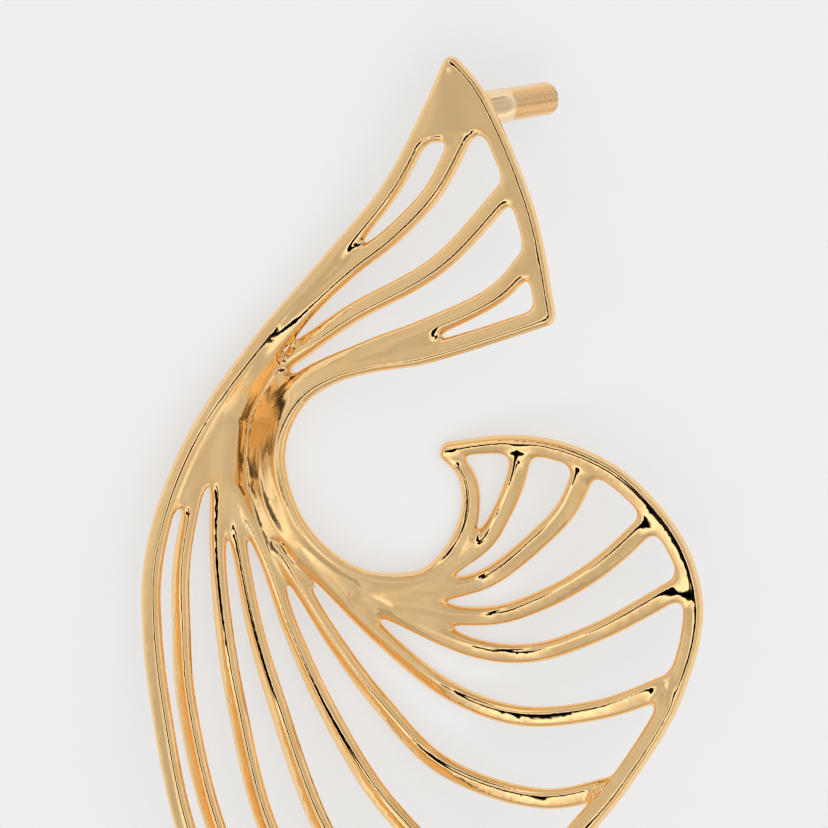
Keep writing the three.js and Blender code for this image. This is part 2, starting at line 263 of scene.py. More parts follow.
# A web fills the gap between two neighbouring ribs. Each pair is a row number on the
# first and the row number on the second that it reaches across to.
WEBS = [
    ("leftRim", "topRim", [(0.15, 0.15), (1.3, 1.9)]),
    ("leftRim", "first", [(3.0, 3.0), (6.05, 7.1)]),
    ("first", "fifth", [(4.45, 3.75), (6.5, 6.0)]),
    ("first", "second", [(5.6, 0.1), (6.75, 0.8)]),
    ("second", "third", [(0.45, 0.1), (1.35, 0.85)]),
    ("third", "fourth", [(0.4, 0.1), (1.0, 0.5)]),
    ("second", "fifth", [(0.0, 5.1), (1.0, 6.6)]),
    ("fourth", "fifth", [(0.1, 6.4), (0.65, 7.3)]),
    ("fifth", "sixth", [(3.9, 3.9), (7.5, 7.45)]),
    ("sixth", "innerRim",
     [(1.85, 1.45), (3.0, 3.3), (3.9, 4.8), (6.0, 7.3), (7.3, 8.5), (8.6, 10.4)]),
    ("sixth", "seventh", [(8.2, 0.0), (8.75, 0.8)]),
    ("seventh", "innerRim", [(0.0, 9.6), (1.2, 11.4)]),
    ("seventh", "eighth", [(0.6, 0.1), (1.3, 1.1)]),
    ("eighth", "ninth", [(0.45, 0.0), (1.4, 1.3)]),
]


def unit(v):
    return v / np.maximum(np.linalg.norm(v, axis=-1, keepdims=True), 1e-12)


def dot(a, b):
    return np.einsum("...i,...i->...", a, b)


def depth_in_hollow(p):
    """1 well inside the hollow of the waist, 0 outside it."""
    from_middle = np.linalg.norm((p - HOLLOW_MIDDLE) / HOLLOW_REACH, axis=1)
    return np.clip(HOLLOW_FALLOFF - from_middle, 0, 1)


class Rib:
    """A smooth bar through its table's rows. Its stations lie closely along it."""

    def __init__(self, table):
        rows = np.array(table, float)
        knots = rows[:, [0, 2, 1]]
        ends = np.vstack([2 * knots[0] - knots[1], knots, 2 * knots[-1] - knots[-2]])
        gaps = np.sqrt(np.linalg.norm(np.diff(ends, axis=0), axis=1))
        middle, along, row = [], [], []
        for i in range(len(knots) - 1):
            p0, p1, p2, p3 = ends[i:i + 4]
            g0, g1, g2 = gaps[i:i + 3]
            out = ((p1 - p0) / g0 - (p2 - p0) / (g0 + g1) + (p2 - p1) / g1) * g1
            back = ((p2 - p1) / g1 - (p3 - p1) / (g1 + g2) + (p3 - p2) / g2) * g1
            steps = max(2, int(np.ceil(g1 * g1 / STATION_STEP)))
            last = i == len(knots) - 2
            t = (np.arange(steps + last) / steps)[:, None]
            square = -3 * p1 + 3 * p2 - 2 * out - back
            cube = 2 * p1 - 2 * p2 + out + back
            middle.append(p1 + t * (out + t * (square + t * cube)))
            along.append(out + t * (2 * square + 3 * t * cube))
            row.append(i + t[:, 0])
        self.row = np.concatenate(row)
        self.middle = np.vstack(middle)
        self.along = unit(np.vstack(along))
        turn, self.wide = (self.smooth(np.interp(self.row, np.arange(len(rows)), rows[:, i]))
                           for i in (3, 4))
        turn = np.radians(turn)[:, None]
        viewer = np.array([0.0, -1.0, 0.0])
        front = unit(viewer - self.along * (self.along @ viewer)[:, None])
        right = np.cross(front, self.along)
        self.face = front * np.cos(turn) - right * np.sin(turn)
        self.side = right * np.cos(turn) + front * np.sin(turn)

    @staticmethod
    def smooth(values, reach=4):
        """The values with their corners rounded off."""
        for _ in range(2):
            padded = np.pad(values, reach, mode="edge")
            values = np.convolve(padded, np.full(2 * reach + 1, 1 / (2 * reach + 1)), "valid")
        return values

    def at(self, row):
        """Middle, direction, face, side and width at any row numbers."""
        middle, along, face, side = (
            np.stack([np.interp(row, self.row, kept[:, i]) for i in range(3)], 1)
            for kept in (self.middle, self.along, self.face, self.side))
        wide = np.interp(row, self.row, self.wide)
        return middle, unit(along), unit(face), unit(side), wide


def lay_ends_flush(ribs):
    """Turns the end of each rib level with the face of the rib that it ends on."""
    for rib in ribs:
        travel = np.r_[0, np.cumsum(np.linalg.norm(np.diff(rib.middle, axis=0), axis=1))]
        for end, run in ((0, travel), (-1, travel[-1] - travel)):
            host, gap, station = None, 0.6, 0
            for other in ribs:
                if other is rib:
                    continue
                gaps = np.linalg.norm(other.middle - rib.middle[end], axis=1)
                if gaps.min() < gap:
                    host, gap, station = other, gaps.min(), gaps.argmin()
            if host is None:
                continue
            share = np.clip(1 - run / FLUSH_LENGTH, 0, 1)[:, None]
            share = share * share * (3 - 2 * share)
            face = host.face[station] * np.sign(dot(host.face[station], rib.face[end]))
            face = rib.face * (1 - share) + face * share
            rib.face = unit(face - rib.along * dot(face, rib.along)[:, None])
            side = np.cross(rib.along, rib.face)
            rib.side = side * np.sign(dot(side, rib.side))[:, None]


class Plate:
    """A curved plate over a grid of points, with a normal and half a thickness at each point."""

    def __init__(self, points, normals, half):
        self.points, self.normals, self.half = points, unit(normals), half
        self.tall, self.across = points.shape[:2]
        step = max(1, int(round(0.5 / STATION_STEP)))
        rows = np.unique(np.r_[np.arange(0, self.tall, step), self.tall - 1])
        columns = np.arange(self.across) if self.across < 4 else np.arange(0, self.across, 2)
        self.seeds = np.stack(np.meshgrid(rows, columns, indexing="ij"), -1).reshape(-1, 2)
        self.seed_points = points[self.seeds[:, 0], self.seeds[:, 1]]

    def _cell(self, grid, v, u):
        i = np.clip(v.astype(int), 0, self.tall - 2)
        j = np.clip(u.astype(int), 0, self.across - 2)
        a, b = (v - i), (u - j)
        if grid.ndim == 3:
            a, b = a[:, None], b[:, None]
        g00, g01, g10, g11 = grid[i, j], grid[i, j + 1], grid[i + 1, j], grid[i + 1, j + 1]
        value = (1 - a) * ((1 - b) * g00 + b * g01) + a * ((1 - b) * g10 + b * g11)
        along = (1 - b) * (g10 - g00) + b * (g11 - g01)
        across = (1 - a) * (g01 - g00) + a * (g11 - g10)
        return value, along, across

    def near(self, p):
        """Distance from the plate's skin and the direction away from it, at each point."""
        nearest = np.argmin((self.seed_points ** 2).sum(1) - 2 * p @ self.seed_points.T, axis=1)
        v, u = self.seeds[nearest].astype(float).T
        for _ in range(4):
            x, xv, xu = self._cell(self.points, v, u)
            r = p - x
            vv, uu, vu, rv, ru = dot(xv, xv), dot(xu, xu), dot(xv, xu), dot(r, xv), dot(r, xu)
            det = np.maximum(vv * uu - vu * vu, 1e-2 * vv * uu + 1e-12)
            v = np.clip(v + np.clip((rv * uu - ru * vu) / det, -3, 3), 0, self.tall - 1)
            u = np.clip(u + np.clip((ru * vv - rv * vu) / det, -2, 2), 0, self.across - 1)
        x, xv, xu = self._cell(self.points, v, u)
        n = unit(self._cell(self.normals, v, u)[0])
        half = self._cell(self.half, v, u)[0]
        r = p - x
        height = dot(r, n)
        lv, lu = np.linalg.norm(xv, axis=1), np.linalg.norm(xu, axis=1)
        end_v = np.where(v > (self.tall - 1) / 2, 1, -1)[:, None]
        end_u = np.where(u > (self.across - 1) / 2, 1, -1)[:, None]
        dir_v = unit(xv - n * dot(xv, n)[:, None]) * end_v
        dir_u = np.cross(n, dir_v)
        dir_u *= np.sign(dot(dir_u, xu) + 1e-12)[:, None] * end_u
        past_v = np.maximum(-v, v - (self.tall - 1)) * lv + np.maximum(dot(r, dir_v), 0)
        past_u = np.maximum(-u, u - (self.across - 1)) * lu + np.maximum(dot(r, dir_u), 0)
        q = np.stack([np.abs(height) - half, past_v, past_u], 1) + EDGE_RADIUS
        ways = np.stack([n * np.sign(height)[:, None], dir_v, dir_u], 1)
        out = np.maximum(q, 0)
        size = np.linalg.norm(out, axis=1)
        top = q.max(1)
        distance = size + np.minimum(top, 0) - EDGE_RADIUS
        inner = ways[np.arange(len(p)), q.argmax(1)]
        away = np.where((size > 1e-6)[:, None], (out[:, :, None] * ways).sum(1), inner)
        return distance, unit(away)


def rib_plate(rib):
    edge = rib.side * (rib.wide / 2)[:, None]
    points = np.stack([rib.middle - edge, rib.middle + edge], 1)
    normals = np.stack([rib.face, rib.face], 1)
    return Plate(points, normals, np.full(points.shape[:2], RIB_DEPTH / 2))


def web_plate(web):
    """A web leaves each rib level with the face it is most in line with, and bends in between."""
    name_a, name_b, pairs = web
    rib_a, rib_b = RIBS_MADE[name_a], RIBS_MADE[name_b]
    rows_a, rows_b = np.array(pairs).T
    knots = np.arange(len(pairs)) / (len(pairs) - 1)
    trial = np.linspace(0, 1, 12)
    sides = [rib.at(np.interp(trial, knots, rows))[0]
             for rib, rows in ((rib_a, rows_a), (rib_b, rows_b))]
    length = max(np.linalg.norm(np.diff(side, axis=0), axis=1).sum() for side in sides)
    v = np.linspace(0, 1, max(4, int(np.ceil(length / STATION_STEP))))
    middle_a, along_a, face_a, side_a, wide_a = rib_a.at(np.interp(v, knots, rows_a))
    middle_b, along_b, face_b, side_b, wide_b = rib_b.at(np.interp(v, knots, rows_b))
    chord = middle_b - middle_a
    gap = np.linalg.norm(chord, axis=1)
    over = unit(chord)
    normal = unit(np.cross(np.gradient(middle_a + middle_b, axis=0), over))
    for i in range(1, len(v)):
        if normal[i] @ normal[i - 1] < 0:
            normal[i] = -normal[i]
    open_way = np.clip((gap - 0.9) / 0.5, 0, 1)

    def leave(along, face, side, wide):
        """Slope at which the web leaves a rib, half its thickness there, and how far it runs
        straight."""
        flat = unit(over - along * dot(over, along)[:, None])
        fs, ff = dot(flat, side), dot(flat, face)
        by_side = np.abs(fs) > np.abs(ff)
        axis = np.where(by_side[:, None], side * np.sign(fs)[:, None], face * np.sign(ff)[:, None])
        share = np.clip((np.maximum(np.abs(fs), np.abs(ff)) - 0.72) / (0.93 - 0.72), 0, 1)
        share = share * share * (3 - 2 * share) * open_way
        steep = dot(axis, normal) / np.maximum(dot(axis, over), 0.3)
        slope = Rib.smooth(np.clip(steep, -1, 1) * share)
        across = unit(np.cross(along, axis * share[:, None] + flat * (1 - share)[:, None]))
        deep, broad = dot(across, face) * RIB_DEPTH / 2, dot(across, side) * wide / 2
        half = np.sqrt(deep ** 2 + broad ** 2)
        return slope[:, None], half[:, None], np.minimum(0.3, 0.45 * gap)[:, None]

    slope_a, half_a, straight_a = leave(along_a, face_a, side_a, wide_a)
    slope_b, half_b, straight_b = leave(along_b, face_b, side_b, wide_b)
    u = np.linspace(0, 1, 15)[None, :]
    s = u * gap[:, None]
    middle = np.maximum(gap[:, None] - straight_a - straight_b, 1e-6)
    t = np.clip((s - straight_a) / middle, 0, 1)
    low, high = straight_a * slope_a, -straight_b * slope_b
    bend = (low * (1 - t * t * (3 - 2 * t)) + high * t * t * (3 - 2 * t)
            + middle * (slope_a * t * (1 - t) ** 2 + slope_b * t * t * (t - 1)))
    lift = np.where(s < straight_a, s * slope_a, np.where(s > gap[:, None] - straight_b,
                    (s - gap[:, None]) * slope_b, bend))
    points = middle_a[:, None] + chord[:, None] * u[:, :, None] + normal[:, None] * lift[:, :, None]
    made = np.cross(np.gradient(points, axis=0), np.gradient(points, axis=1))
    made *= np.sign(dot(made, normal[:, None]) + 1e-12)[:, :, None]
    half = half_a * (1 - u) + half_b * u
    return Plate(points, made, half)


class Boss:
    """The low ring of solder that the post stands in."""

    def __init__(self, radius, low, high):
        self.way = unit(np.array(POST_WAY))
        self.root = np.array(POST_ROOT)
        self.radius, self.low, self.high = radius, low, high
        self.seed_points = self.root + self.way * np.linspace(low, high, 5)[:, None]

    def near(self, p):
        r = p - self.root
        up = r @ self.way
        out = r - up[:, None] * self.way
        far = np.linalg.norm(out, axis=1)
        rounding = 0.06
        q = np.stack([far - self.radius, np.maximum(self.low - up, up - self.high)], 1) + rounding
        ways = np.stack([unit(out), np.where((up > 0)[:, None], self.way, -self.way)], 1)
        big = np.maximum(q, 0)
        size = np.linalg.norm(big, axis=1)
        inner = ways[np.arange(len(p)), q.argmax(1)]
        away = np.where((size > 1e-6)[:, None], (big[:, :, None] * ways).sum(1), inner)
        return size + np.minimum(q.max(1), 0) - rounding, unit(away)


class Cells:
    """Finds the points near a shape without looking at them all."""

    SIZE = 0.8

    def __init__(self, p):
        self.low = p.min(0)
        key = ((p - self.low) / self.SIZE).astype(int)
        self.shape = key.max(0) + 1
        flat = np.ravel_multi_index(key.T, self.shape)
        self.order = np.argsort(flat, kind="stable")
        self.sorted = flat[self.order]

    def around(self, seeds):
        base = ((seeds - self.low) / self.SIZE).astype(int)
        steps = np.stack(np.meshgrid(*[np.arange(-1, 2)] * 3, indexing="ij"), -1).reshape(-1, 3)
        keys = (base[:, None] + steps).reshape(-1, 3)
        keys = keys[((keys >= 0) & (keys < self.shape)).all(1)]
        flat = np.unique(np.ravel_multi_index(keys.T, self.shape))
        first, last = (np.searchsorted(self.sorted, flat, side) for side in ("left", "right"))
        runs = [self.order[i:j] for i, j in zip(first, last) if j > i]
        return np.concatenate(runs) if runs else np.empty(0, int)


def field(shapes, p):
    """Distance from the joined skin of all the shapes, and the direction away from it. Skins that
    cross are filleted, and skins that run level are simply joined."""
    cells = Cells(p)
    distance = np.full(len(p), 9.0)
    away = np.zeros((len(p), 3))
    fillet = 1 - HOLLOW_SHARPNESS * depth_in_hollow(p)
    for shape, blend in shapes:
        some = cells.around(shape.seed_points)
        if not len(some):
            continue
        d2, g2 = shape.near(p[some])
        d1, g1 = distance[some], away[some]
        k = np.maximum(blend * fillet[some] * np.clip(1 - dot(g1, g2), 0, 1), 1e-4)
        h = np.maximum(k - np.abs(d1 - d2), 0) / k
        distance[some] = np.minimum(d1, d2) - h * h * k / 4
        share = (0.5 + 0.5 * np.clip((d2 - d1) / k, -1, 1))[:, None]
        away[some] = unit(g1 * share + g2 * (1 - share))
    return distance, away


def skin(shapes, step):
    """A closed mesh of squares over the joined shapes, one corner in each grid cell that the skin
    crosses."""
    seeds = np.vstack([shape.seed_points for shape, _ in shapes])
    low = seeds.min(0) - 1.2
    shape = tuple(np.ceil((seeds.max(0) + 1.2 - low) / step).astype(int))
    near = np.zeros(shape, bool)
    reach = int(np.ceil(0.62 / step))
    for part, _ in shapes:
        for x, y, z in np.unique(((part.seed_points - low) / step).astype(int), axis=0):
            near[x - reach:x + reach + 1, y - reach:y + reach + 1, z - reach:z + reach + 1] = True
    index = np.argwhere(near)
    values = np.full(shape, 1.0, np.float32)
    values[tuple(index.T)] = field(shapes, low + index * step)[0]
    inside = values < 0
    corner = [(slice(i, i - 1 or None), slice(j, j - 1 or None), slice(k, k - 1 or None))
              for i in (0, 1) for j in (0, 1) for k in (0, 1)]
    some = np.zeros(tuple(n - 1 for n in shape), bool)
    every = ~some
    for c in corner:
        some |= inside[c]
        every &= inside[c]
    mixed = some & ~every
    cells = np.argwhere(mixed)
    number = np.full(mixed.shape, -1, np.int32)
    number[tuple(cells.T)] = np.arange(len(cells))
    total, count = np.zeros((len(cells), 3)), np.zeros(len(cells))
    for axis in range(3):
        others = [a for a in range(3) if a != axis]
        for i in (0, 1):
            for j in (0, 1):
                start = cells.copy()
                start[:, others[0]] += i
                start[:, others[1]] += j
                end = start.copy()
                end[:, axis] += 1
                a, b = values[tuple(start.T)], values[tuple(end.T)]
                cut = (a < 0) != (b < 0)
                share = np.where(cut, a / np.where(cut, a - b, 1), 0)
                place = start.astype(float)
                place[:, axis] += share
                total[cut] += place[cut]
                count += cut
    corners = low + total / count[:, None] * step
    faces = []
    for axis in range(3):
        u, v = (axis + 1) % 3, (axis + 2) % 3
        a = inside[tuple(slice(0, -1) if k == axis else slice(None) for k in range(3))]
        b = inside[tuple(slice(1, None) if k == axis else slice(None) for k in range(3))]
        at = np.argwhere(a != b)
        ring = []
        for du, dv in ((-1, -1), (0, -1), (0, 0), (-1, 0)):
            cell = at.copy()
            cell[:, u] += du
            cell[:, v] += dv
            ring.append(number[tuple(cell.T)])
        quad = np.stack(ring, 1)
        turned = a[tuple(at.T)]
        quad[~turned] = quad[~turned][:, ::-1]
        faces.append(quad)
    return corners, np.vstack(faces)


def settle(shapes, p, rounds):
    """Moves points onto the skin and gives its outward direction there."""
    for _ in range(rounds):
        distance, away = field(shapes, p)
        p = p - away * np.clip(distance, -0.1, 0.1)[:, None]
    return p, field(shapes, p)[1]


def polish(points, faces, rounds, strength):
    """Evens out the skin. strength is how much each corner moves towards its neighbours."""
    pairs = np.vstack([faces[:, [i, (i + 1) % 4]] for i in range(4)])
    ends = np.r_[pairs[:, 0], pairs[:, 1]]
    others = np.r_[pairs[:, 1], pairs[:, 0]]
    count = np.maximum(np.bincount(ends, minlength=len(points)), 1)[:, None]
    for turn in range(2 * rounds):
        total = np.stack([np.bincount(ends, points[others, i], len(points)) for i in range(3)], 1)
        mean = total / count
        share = 0.55 if turn % 2 == 0 else -0.5
        points = points + (mean - points) * share * strength[:, None]
    return points


def normals_of(points, faces):
    """The direction out of the skin at each corner, from the squares around it."""
    a, b, c, d = (points[faces[:, i]] for i in range(4))
    flat = np.cross(c - a, d - b)
    at = faces.ravel()
    sums = [np.bincount(at, np.repeat(flat[:, i], 4), len(points)) for i in range(3)]
    return unit(np.stack(sums, 1))


def new_mesh(name, points, faces):
    mesh = bpy.data.meshes.new(name)
    mesh.vertices.add(len(points))
    mesh.vertices.foreach_set("co", np.asarray(points, np.float32).ravel())
    sides = faces.shape[1]
    mesh.loops.add(faces.size)
    mesh.loops.foreach_set("vertex_index", faces.astype(np.int32).ravel())
    mesh.polygons.add(len(faces))
    mesh.polygons.foreach_set("loop_start", np.arange(0, faces.size, sides, dtype=np.int32))
    mesh.update(calc_edges=True)
    mesh.validate()
    return mesh


def new_object(name, mesh):
    piece = bpy.data.objects.new(name, mesh)
    bpy.context.scene.collection.objects.link(piece)
    return piece


def thinned_mesh(piece, most):
    """The piece's mesh with no more than the given number of triangles, fewest where it is
    flattest."""
    modifier = piece.modifiers.new("thin", "DECIMATE")
    modifier.ratio = min(1.0, most / sum(len(p.vertices) - 2 for p in piece.data.polygons))
    modifier.use_collapse_triangulate = True
    graph = bpy.context.evaluated_depsgraph_get()
    mesh = bpy.data.meshes.new_from_object(piece.evaluated_get(graph))
    piece.modifiers.clear()
    return mesh


def corners_of(mesh):
    points = np.empty(len(mesh.vertices) * 3, np.float32)
    mesh.vertices.foreach_get("co", points)
    return points.reshape(-1, 3).astype(float)


def nearby_mean(points, ways, places):
    """The directions at other places, from the four nearest points."""
    tree = KDTree(len(points))
    for number, point in enumerate(points):
        tree.insert(point, number)
    tree.balance()
    found = [tree.find_n(place, 4) for place in places]
    near = np.array([[number for _, number, _ in four] for four in found])
    gap = np.array([[gap for _, _, gap in four] for four in found])
    share = 1 / (gap + 0.01)
    return unit((ways[near] * share[:, :, None]).sum(1))


def finish_smooth(mesh, points, away):
    mesh.vertices.foreach_set("co", np.asarray(points, np.float32).ravel())
    mesh.update()
    mesh.polygons.foreach_set("use_smooth", np.ones(len(mesh.polygons), bool))
    mesh.normals_split_custom_set_from_vertices(away.astype(np.float32).tolist())


RIBS_MADE = {name: Rib(table) for name, table in RIBS.items()}
lay_ends_flush(list(RIBS_MADE.values()))
shapes = [(rib_plate(rib), CORNER_BLEND) for rib in RIBS_MADE.values()]
shapes += [(web_plate(web), CORNER_BLEND) for web in WEBS]
shapes.append((Boss(COLLAR_RADIUS + BOSS_OVERHANG, 0.0, BOSS_RISE), BOSS_BLEND))

points, faces = skin(shapes, SKIN_STEP)
points = settle(shapes, points, 2)[0]
# The casting is polished smooth all over, and most where the sheet twists through the waist.
from_waist = np.linalg.norm((points - WAIST_MIDDLE) / WAIST_REACH, axis=1)
in_waist = np.clip(2.4 - 2 * from_waist, 0, 1)
points = polish(points, faces, 2, np.full(len(points), 0.8))
points = polish(points, faces, 14, in_waist)
away = normals_of(points, faces)
dense_points, dense_away = points, away
sheet = new_object("earring_sheet", new_mesh("earring_sheet", points, faces))
sheet.data = thinned_mesh(sheet, MOST_TRIANGLES)
points = corners_of(sheet.data)
away = nearby_mean(dense_points, dense_away, points)

# Laying down: the same turn as the CAD model, then onto its bounding box.
turn = np.array(Vector(DOWN_WHEN_LAID).rotation_difference(Vector((0, 0, -1))).to_matrix())
laid = points @ turn.T * MM
low, high = (np.array(corner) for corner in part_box("stud_earring"))
off_middle = (low + high) / 2 - (laid.max(0) + laid.min(0)) / 2
shift = np.array([*off_middle[:2], low[2] - laid[:, 2].min()])


def lay(worn):
    return np.asarray(worn, float) @ turn.T * MM + shift


finish_smooth(sheet.data, lay(points), away @ turn.T)
# The hollow of the waist is duller than the rest, which softens the reflections in its creases.
sheet.data.attributes.new("hollow", "FLOAT", "POINT").data.foreach_set(
    "value", depth_in_hollow(points).astype(np.float32))
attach(sheet, "root")
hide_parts("stud_earring")


def post_mesh():
    """The post is turned: a plain collar with a small chamfer, then a thread with a rounded end."""
    way = unit(np.array(POST_WAY))
    side = unit(np.cross(way, (0, 0, 1)))
    other = np.cross(way, side)
    around = np.linspace(0, 2 * np.pi, 64, endpoint=False)
    rings = []

    def ring(up, radius):
        up = np.broadcast_to(up, around.shape)
        radius = np.broadcast_to(radius, around.shape)[:, None]
        middle = np.array(POST_ROOT) + up[:, None] * way
        outward = np.cos(around)[:, None] * side + np.sin(around)[:, None] * other
        rings.append(middle + radius * outward)

    for up, radius in ((0.15, 0.30), (0.15, COLLAR_RADIUS - 0.02), (0.17, COLLAR_RADIUS)):
        ring(up, radius)
    for up in np.linspace(0.5, COLLAR_LENGTH - 0.05, 4):
        ring(up, COLLAR_RADIUS)
    ring(COLLAR_LENGTH - 0.02, COLLAR_RADIUS - 0.01)
    ring(COLLAR_LENGTH, COLLAR_RADIUS - 0.03)
    for up in np.arange(COLLAR_LENGTH + 0.01, POST_LENGTH - 0.02, THREAD_PITCH / 8):
        phase = up / THREAD_PITCH * 2 * np.pi - around
        from_end = max(0.0, up - (POST_LENGTH - TIP_ROUNDING)) / TIP_ROUNDING
        crest = THREAD_RADIUS - TIP_ROUNDING + TIP_ROUNDING * math.sqrt(max(0.0, 1 - from_end ** 2))
        depth = THREAD_CUT * min(1.0, (up - COLLAR_LENGTH) / THREAD_PITCH) * (1 - from_end) ** 0.5
        ring(up, crest - depth * (0.5 - 0.5 * np.cos(phase)))
    for radius in (THREAD_RADIUS - TIP_ROUNDING, 0.15):
        ring(POST_LENGTH, radius)
    count = len(around)
    a = np.arange(count)
    b = (a + 1) % count
    walls = [np.stack([r * count + a, r * count + b, (r + 1) * count + b, (r + 1) * count + a], 1)
             for r in range(len(rings) - 1)]
    mesh = new_mesh("earring_post", lay(np.vstack(rings)), np.vstack(walls))
    shape = bmesh.new()
    shape.from_mesh(mesh)
    bmesh.ops.holes_fill(shape, edges=[e for e in shape.edges if e.is_boundary], sides=0)
    bmesh.ops.recalc_face_normals(shape, faces=shape.faces)
    for face in shape.faces:
        face.smooth = True
    shape.to_mesh(mesh)
    shape.free()
    return mesh


post = new_object("earring_post", post_mesh())
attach(post, "root")
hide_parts("stud_earring")

# Materials.


class Nodes:
    """Adds nodes to a tree and wires them by socket name."""

    def __init__(self, tree):
        self.tree = tree

    def add(self, kind, settings=(), **inputs):
        node = self.tree.nodes.new(kind)
        for name, value in dict(settings).items():
            setattr(node, name, value)
        for name, value in inputs.items():
            socket = node.inputs[name.replace("_", " ")]
            if isinstance(value, bpy.types.NodeSocket):
                self.tree.links.new(value, socket)
            else:
                socket.default_value = value
        return node


def material(name):
    made = bpy.data.materials.new(name)
    made.use_nodes = True
    made.node_tree.nodes.clear()
    return made, Nodes(made.node_tree)


WAVE_HEIGHT = 0.03 * MM     # slow waves in the polish
HAIR_DEPTH = 0.0006 * MM    # hair scratches
SCUFF_ROUGHNESS = 0.08      # roughness added by the scratches
# The pale colours are also painted on the convex edges, as a painted sheen.
DEEP_GOLD, PALE_GOLD = (1.0, 0.66, 0.30, 1), (1.0, 0.71, 0.38, 1)
DEEP_SATIN, PALE_SATIN = (1.0, 0.73, 0.43, 1), (1.0, 0.78, 0.52, 1)


def hand_polish():
    """What the buffing wheel leaves on gold: slow waves, hair scratches and rubbed edges, whose
    paler colour is a painted sheen.
    """
    group = bpy.data.node_groups.new("hand_polish", "ShaderNodeTree")
    for name, low, high in (("Waves", 0.0, 2.0), ("Scratches", 0.0, 2.0)):
        socket = group.interface.new_socket(name, in_out="INPUT", socket_type="NodeSocketFloat")
        socket.min_value, socket.max_value, socket.default_value = low, high, 1.0
    for name, kind in (("Normal", "Vector"), ("Scuff", "Float"), ("Rub", "Float"),
                       ("Blush", "Float")):
        group.interface.new_socket(name, in_out="OUTPUT", socket_type="NodeSocket" + kind)
    nodes = Nodes(group)
    given = nodes.add("NodeGroupInput")
    place = nodes.add("ShaderNodeTexCoord").outputs["Object"]
    waves = nodes.add("ShaderNodeTexNoise", Vector=place, Scale=240.0, Detail=1.0, Roughness=0.4)
    along = nodes.add("ShaderNodeMapping", Vector=place, Rotation=(0.0, 0.0, 0.35),
                      Scale=(1.0, 0.09, 1.0))
    hairs = nodes.add("ShaderNodeTexNoise", Vector=along.outputs["Vector"], Scale=16000.0,
                      Detail=2.0, Roughness=0.6)
    thin = nodes.add("ShaderNodeMapRange", {"interpolation_type": "SMOOTHSTEP"},
                     Value=hairs.outputs["Fac"], From_Min=0.60, From_Max=0.72)
    patches = nodes.add("ShaderNodeTexNoise", Vector=place, Scale=700.0, Detail=2.0, Roughness=0.5)
    patch = nodes.add("ShaderNodeMapRange", {"interpolation_type": "SMOOTHSTEP"},
                      Value=patches.outputs["Fac"], From_Min=0.42, From_Max=0.66)
    mark = nodes.add("ShaderNodeMath", {"operation": "MULTIPLY"})
    nodes.tree.links.new(thin.outputs["Result"], mark.inputs[0])
    nodes.tree.links.new(patch.outputs["Result"], mark.inputs[1])
    scuff = nodes.add("ShaderNodeMath", {"operation": "MULTIPLY"})
    nodes.tree.links.new(mark.outputs["Value"], scuff.inputs[0])
    nodes.tree.links.new(given.outputs["Scratches"], scuff.inputs[1])
    slow = nodes.add("ShaderNodeBump", Strength=given.outputs["Waves"], Distance=WAVE_HEIGHT,
                     Height=waves.outputs["Fac"])
    fine = nodes.add("ShaderNodeBump", {"invert": True}, Strength=scuff.outputs["Value"],
                     Distance=HAIR_DEPTH, Height=hairs.outputs["Fac"],
                     Normal=slow.outputs["Normal"])
    bend = nodes.add("ShaderNodeNewGeometry").outputs["Pointiness"]
    # Convex edges get the pale colour: a painted sheen along the edges, meant as rubbed wear.
    wear_and_sheen = nodes.add("ShaderNodeMapRange", Value=bend, From_Min=0.52, From_Max=0.60)
    blush = nodes.add("ShaderNodeMapRange", Value=patches.outputs["Fac"], From_Min=0.3,
                      From_Max=0.7)
    nodes.add("NodeGroupOutput", Normal=fine.outputs["Normal"], Scuff=scuff.outputs["Value"],
              Rub=wear_and_sheen.outputs["Result"], Blush=blush.outputs["Result"])
    return group


def golden(name, gloss, waves, scratches, deep, pale):
    """A gold finish: deep and pale are its colour in the patches and on the convex edges, where the
    paler colour is a painted sheen for rubbed wear.
    """
    made, nodes = material(name)
    polish = nodes.add("ShaderNodeGroup", {"node_tree": HAND_POLISH}, Waves=waves,
                       Scratches=scratches)
    colour = nodes.add("ShaderNodeMix", {"data_type": "RGBA"}, Factor=polish.outputs["Blush"])
    colour.inputs["A"].default_value = deep
    colour.inputs["B"].default_value = tuple((d + p) / 2 for d, p in zip(deep, pale))
    # Painted sheen: the convex edges are painted the pale colour.
    edges = nodes.add("ShaderNodeMix", {"data_type": "RGBA"}, Factor=polish.outputs["Rub"])
    nodes.tree.links.new(colour.outputs["Result"], edges.inputs["A"])
    edges.inputs["B"].default_value = pale
    dull = nodes.add("ShaderNodeMapRange", Value=polish.outputs["Scuff"], To_Min=gloss,
                     To_Max=gloss + SCUFF_ROUGHNESS)
    hollow = nodes.add("ShaderNodeAttribute", {"attribute_name": "hollow"})
    rough = nodes.add("ShaderNodeMath", {"operation": "MULTIPLY_ADD"})
    rough.inputs[1].default_value = HOLLOW_DULLNESS
    nodes.tree.links.new(hollow.outputs["Fac"], rough.inputs[0])
    nodes.tree.links.new(dull.outputs["Result"], rough.inputs[2])
    surface = nodes.add("ShaderNodeBsdfPrincipled", Metallic=1.0,
                        Base_Color=edges.outputs["Result"], Roughness=rough.outputs["Value"],
                        Normal=polish.outputs["Normal"])
    nodes.add("ShaderNodeOutputMaterial", Surface=surface.outputs["BSDF"])
    return made


HAND_POLISH = hand_polish()
sheet.data.materials.append(golden("polished_gold", 0.05, 1.0, 0.8, DEEP_GOLD, PALE_GOLD))
post.data.materials.append(golden("satin_gold", 0.10, 0.4, 1.6, DEEP_SATIN, PALE_SATIN))

# The table, the light and the camera.
CAMERA_AWAY = 600.0
CAMERA_AIM = (1.56, 2.24)
VIEW_WIDTH = 33.12     # what the view spans at the earring
SENSOR_WIDTH = 36.0
TABLE_GLOW = 0.54      # the table is a light panel, so shadows on it stay faint
TABLE_DARKEST, TABLE_PALEST = 0.295, 0.305
ROOM_LIGHT = 0.60
ROOM_BACKDROP = 0.87   # how bright the room looks where it shows behind the table


